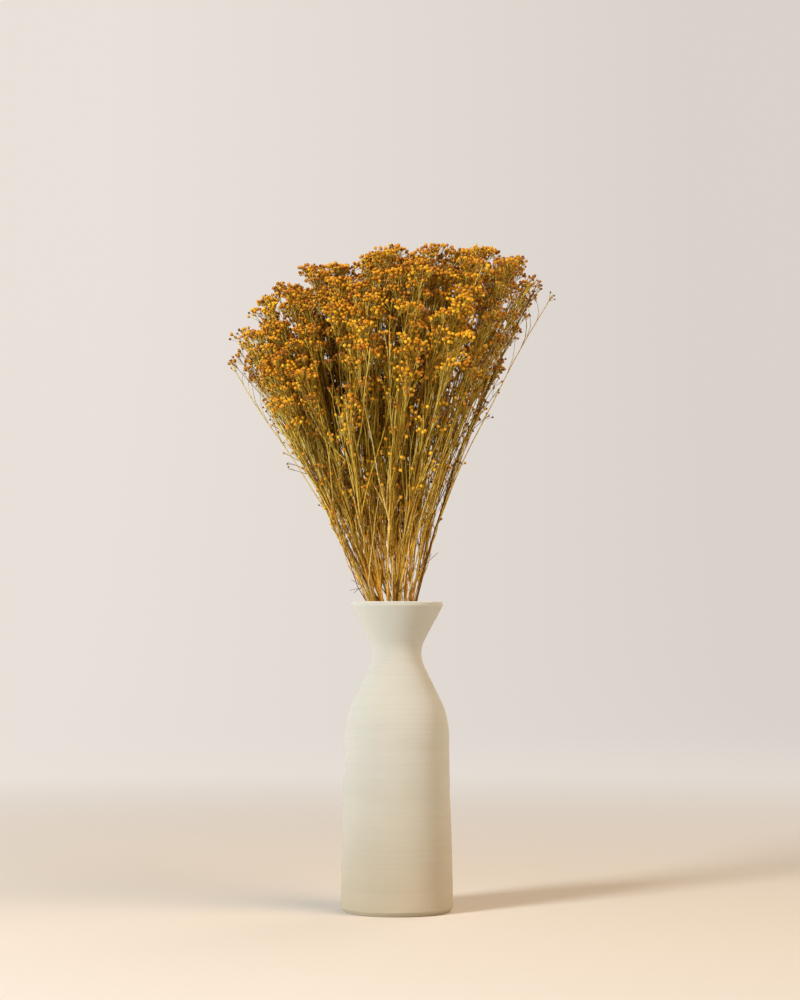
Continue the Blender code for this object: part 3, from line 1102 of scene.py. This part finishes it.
class Spray:
    """One spray's two skins, and the random numbers that shape its fine twigs and pods."""

    def __init__(self, number, low, high):
        self.detail = random.Random(DETAIL_SEED + number)
        self.shoots = Skin()
        self.pods = Skin()
        self.low = low
        self.high = high
        self.warmth = self.detail.uniform(*WARMTH)

    def kept(self, point):
        """The point, turned back where it lies outside the solids' box."""
        point = np.where(point < self.low, self.low + BOX_TURN * (self.low - point), point)
        return np.where(point > self.high, self.high - BOX_TURN * (point - self.high), point)

    def path(self, shoot, start, end, count, spots=None, waver=WAVER):
        """A shoot's path between two heights, with the slight waver of a grown stem."""
        draw = self.detail
        phase = draw.uniform(*ANY_TURN)
        pitch = draw.uniform(*WAVER_PITCH)
        path = []
        for height in np.linspace(start, end, count):
            point = shoot.at(height)
            if spots:
                point = kept_in_cell(point, shoot.own, spots, LEADER_CLEARANCE)
            ease = min(max((height - RIM_CLEAR) / WAVER_START, 0), 1) * waver
            point[0] += ease * math.sin(height / pitch + phase)
            point[1] += ease * math.cos(height / pitch * WAVER_SLOWER + phase)
            path.append(point)
        return np.array(path)

    def branch(self, path, radii, sides, tone):
        """A tube with painted shade: darker where it runs through the bundle's middle or a hollow."""
        deep = np.array([inner_shade(point) for point in path])
        shut = np.array([hollow(point) for point in path])
        # Painted shade: the tone is lowered deep in the bundle and in or behind the hollows
        light = (1 - deep * (1 - INNER_STEM_SHADED_TONE)) * (1 - shut * HOLLOW_STEM_PAINTED_SHADE)
        self.shoots.tube(path, radii, sides, tone * light)

    def pod_on(self, foot, way, centre, tone, edge):
        """A pod on its own stalk, or a smaller, darker husk."""
        draw = self.detail
        radius = draw.uniform(*POD_RADII) * (1 - EDGE_SMALLER * edge)
        if draw.random() < HUSK_SHARE + EDGE_HUSKS * edge:
            radius *= HUSK_SIZE
            tone = draw.uniform(*HUSK_TONES)
        centre = self.kept(centre)
        along = unit(centre - foot)
        ends = (foot, centre - along * (PEDICEL_SINK * radius))
        radii = (PEDICEL_RADIUS, PEDICEL_FLARE * PEDICEL_RADIUS)
        self.shoots.tube(ends, radii, TWIG_SIDES, draw.uniform(*PEDICEL_TONES))
        self.pods.pod(centre, unit(along + POD_TILT * way), radius, tone, draw.uniform(0, 1))

    def cluster(self, twig, count, edge):
        """A loose, flat-topped cluster of pods on stalks that leave the last stretch of a twig."""
        draw = self.detail
        end = twig[-1]
        way = unit(twig[-1] - twig[-2])
        side = unit(np.cross(way, CLUSTER_ASKEW))
        other = np.cross(way, side)
        base_tone = draw.uniform(*POD_TONES) + self.warmth - EDGE_DARKER * edge
        # Painted shade: pods deep in the bundle or in or behind a hollow are darker
        base_tone -= INNER_POD_PAINTED_SHADE * inner_shade(end) + HOLLOW_POD_PAINTED_SHADE * hollow(end)
        if end[2] < YOUNG_BELOW:
            base_tone += YOUNG_LIGHTER
        turn = draw.uniform(*ANY_TURN)
        filled = min(1, math.sqrt(count / CLUSTER_FULL))
        radius = CLUSTER_RADIUS * draw.uniform(*CLUSTER_SIZES) * filled
        room = CLUSTER_ROOM * np.linalg.norm(twig[-1] - twig[0])
        for index in range(count):
            angle = turn + index * GOLDEN_TURN + draw.uniform(-CLUSTER_TURN, CLUSTER_TURN)
            out = radius * math.sqrt((index + draw.uniform(*CLUSTER_OUT)) / count)
            sink = CLUSTER_DOME * out**2 / MM + draw.uniform(*CLUSTER_SINK) * CLUSTER_SCATTER
            across = math.cos(angle) * side + math.sin(angle) * other
            centre = end + across * out - way * sink
            foot = end - way * min(draw.uniform(*PEDICEL_LENGTH) + sink, room)
            tone = min(max(base_tone + draw.gauss(0, POD_TONE_SCATTER), DARKEST_POD), 1)
            self.pod_on(foot, way, centre, tone, edge)

    def twig(self, path, depth, reach, turn, rise, pods, edge):
        """A twig that leaves the shoot's path and ends at a depth below its tip, with its pods."""
        draw = self.detail
        end_height = path[-1][2] - depth
        foot_height = max(end_height - rise, path[0][2] + TWIG_CLEAR)
        foot = on_path(path, foot_height)
        way = unit(on_path(path, foot_height + TWIG_AIM) - foot)
        out = np.array((math.cos(turn), math.sin(turn), 0.0))
        end = self.kept(inside_sides(on_path(path, end_height) + out * reach))
        if hollow(end) > 0 and end[1] < HOLLOW_BACK:
            return
        curve = bowed(foot, end, way, TWIG_POINTS, TWIG_BEND)
        radii = np.linspace(TWIG_RADIUS, TWIG_TAPER * TWIG_RADIUS, TWIG_POINTS)
        self.branch(curve, radii, TWIG_SIDES, draw.uniform(*TWIG_TONES))
        if pods:
            self.cluster(curve, pods, edge)

    def tuft(self, path, layers, edge):
        """The clusters that one shoot carries: one at its own end, and layers of twigs round it."""
        draw = self.detail
        self.cluster(path[-3:], draw.randint(*layers[0][-1]), edge)
        turn = draw.uniform(*ANY_TURN)
        full = draw.uniform(*FULLNESS) * (1 - EDGE_THIN * edge)
        for count, fall, reach, rise, pods in layers:
            for _ in range(round(count * full + draw.uniform(-0.5, 0.5))):
                number = draw.randint(*pods)
                run = draw.uniform(*rise)
                depth = draw.uniform(*fall)
                if path[-1][2] - depth > LOWEST_TWIG:
                    self.twig(path, depth, draw.uniform(*reach), turn, run, number, edge)
                turn += GOLDEN_TURN + draw.uniform(-TWIG_TURN, TWIG_TURN)

    def stubs(self, path, count):
        """Short stubs of dropped leaves and side twigs along a path above the rim."""
        draw = self.detail
        for _ in range(count):
            height = draw.uniform(RIM_CLEAR, STUB_TOP)
            turn = draw.uniform(0, 2 * math.pi)
            length = draw.uniform(*STUB_LENGTH)
            if height < path[-1][2]:
                foot = on_path(path, height)
                way = np.array((STUB_OUT * math.cos(turn), STUB_OUT * math.sin(turn), STUB_UP))
                radii = (STUB_RADIUS, STUB_TAPER * STUB_RADIUS)
                ends = (foot, foot + way * length)
                self.shoots.tube(ends, radii, TWIG_SIDES, draw.uniform(*STUB_TONES))

    def loose_twig(self, stem, height, end, pods, withered):
        """A twig that stands out from the bundle, with pods at its end."""
        draw = self.detail
        foot = stem.at(height)
        way = unit(stem.at(height + LOOSE_AIM) - foot)
        curve = bowed(foot, end, way, LOOSE_POINTS, LOOSE_BEND)
        radii = np.linspace(LOOSE_RADIUS, LOOSE_TAPER * LOOSE_RADIUS, LOOSE_POINTS)
        self.shoots.tube(curve, radii, TWIG_SIDES, draw.uniform(*LOOSE_TONES))
        if pods:
            self.cluster(curve, pods, withered)

    def thin_shoot(self, stem, shoot, radius, count):
        """A shoot that starts on the stem at its own start, with the tuft at its end."""
        draw = self.detail
        waver = draw.uniform(*THIN_WAVERS) * WAVER
        path = self.path(shoot, shoot.start, shoot.tip, count, waver=waver)
        path[0] = stem.at(shoot.start)
        apart = 1 + MOUTH_SPREAD * np.exp(-(((path[1:, 2] - MOUTH_HEIGHT) / MOUTH_REACH) ** 2))
        path[1:, :2] *= apart[:, None]
        radii = np.linspace(radius, THIN_TAPER * radius, count)
        self.branch(path, radii, THIN_SIDES, draw.uniform(*STEM_TONES))
        self.stubs(path, THIN_STUBS)
        self.tuft(path, SPARSE_LAYERS if shoot.tip < SPARSE_BELOW else THIN_LAYERS, shoot.edge())

    def thin_stem(self, stem):
        """A thin stem that leaves the stem near the rim and runs up beside it."""
        draw = self.detail
        turn = draw.uniform(0, 2 * math.pi)
        away = draw.uniform(*THIN_AWAY)
        own = inside_disc(stem.own[0] + away * math.cos(turn), stem.own[1] + away * math.sin(turn))
        lean = inside_disc(own[0] + draw.gauss(0, THIN_LEAN), own[1] + draw.gauss(0, THIN_LEAN))
        tip = min(draw.uniform(*THIN_TIP), dome_height(*lean) - draw.uniform(*THIN_BELOW))
        lean = (lean[0] - own[0], lean[1] - own[1])
        start = draw.uniform(*(THIN_START_EDGE if stem.edge() > EDGE_STEMS else THIN_START))
        shoot = Shoot(own, start, tip, lean)
        self.thin_shoot(stem, shoot, draw.uniform(*THIN_RADII), THIN_POINTS)

    def side_shoot(self, stem):
        """A thin shoot that leaves the stem above the rim and ends among the heads' undersides."""
        draw = self.detail
        start = draw.uniform(*SIDE_START)
        tip = min(draw.uniform(*SIDE_TIP), stem.tip - SIDE_BELOW)
        turn = draw.uniform(0, 2 * math.pi)
        lean = draw.uniform(*SIDE_LEAN)
        end = inside_disc(stem.own[0] + lean * math.cos(turn), stem.own[1] + lean * math.sin(turn))
        shoot = Shoot(stem.own, start, tip, (end[0] - stem.own[0], end[1] - stem.own[1]))
        self.thin_shoot(stem, shoot, SIDE_RADIUS, SIDE_POINTS)


def layers_of(shoot):
    """The layers of twigs that a stem or leader carries."""
    return TUFT_LAYERS if shoot.edge() < EDGE_LAYERS else THIN_LAYERS


def nearest(point, spots):
    """The place in the bundle of the stem that passes nearest to a point."""
    return min(spots, key=lambda spot: math.dist(bundle_point(*spot, point[2]), point))


def spray(number, own, spots, low, high, pod_material, shoot_material):
    """One spray, as two pieces: its shoots and its pods."""
    draw = random.Random(SEED + number)
    lower = draw.uniform(*STEM_DROP) + abs(own[1]) * draw.uniform(*DEPTH_DROP)
    stem = Shoot(own, STEM_FOOT, dome_height(*own) - lower)
    branches = leaders(stem, spots, draw)
    made = Spray(number, low, high)
    detail = made.detail
    path = made.path(stem, STEM_FOOT, stem.tip - TIP_CLEAR, STEM_POINTS)
    thick = detail.uniform(*STEM_RADII)
    thickness = [share * thick for share in STEM_TAPER] + [STEM_TIP_RADIUS]
    radii = np.interp(np.linspace(0, 1, STEM_POINTS), STEM_TAPER_AT, thickness)
    made.branch(path, radii, STEM_SIDES, detail.uniform(*STEM_TONES))
    made.stubs(path, STEM_STUBS)
    made.tuft(path, (*layers_of(stem), LOW_LAYER), stem.edge())
    for leader in branches:
        path = made.path(leader, leader.start, leader.tip - TIP_CLEAR, LEADER_POINTS, spots)
        path[0] = stem.at(leader.start)
        radii = np.linspace(LEADER_RADIUS, LEADER_TIP_RADIUS, LEADER_POINTS)
        made.branch(path, radii, LEADER_SIDES, detail.uniform(*LEADER_TONES))
        made.tuft(path, layers_of(leader), leader.edge())
    thin_stems = THIN_STEMS_BACK if own[1] > BACK_FROM else THIN_STEMS
    for _ in range(THIN_STEMS_EDGE if stem.edge() > EDGE_STEMS else thin_stems):
        made.thin_stem(stem)
    for _ in range(SIDE_SHOOTS):
        made.side_shoot(stem)
    for start, end, pods, withered in LOOSE_TWIGS:
        start = np.array(start) * MM
        if nearest(start, spots) == own:
            made.loose_twig(stem, start[2], np.array(end) * MM, pods, withered)
    name = f"spray_{number + 1:02d}"
    piece(made.shoots.mesh(f"{name}_shoots"), shoot_material, name)
    piece(made.pods.mesh(f"{name}_pods"), pod_material, name)


def sprays(low, high):
    pod_material = pod_look()
    shoot_material = shoot_look()
    low = np.array(low) + BOX_MARGIN
    high = np.array(high) - BOX_MARGIN
    spots = places()
    for number, own in enumerate(spots):
        spray(number, own, spots, low, high, pod_material, shoot_material)


def main():
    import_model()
    cad_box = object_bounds()
    camera()
    lights()
    stage()
    vase()
    sprays(*cad_box)


main()
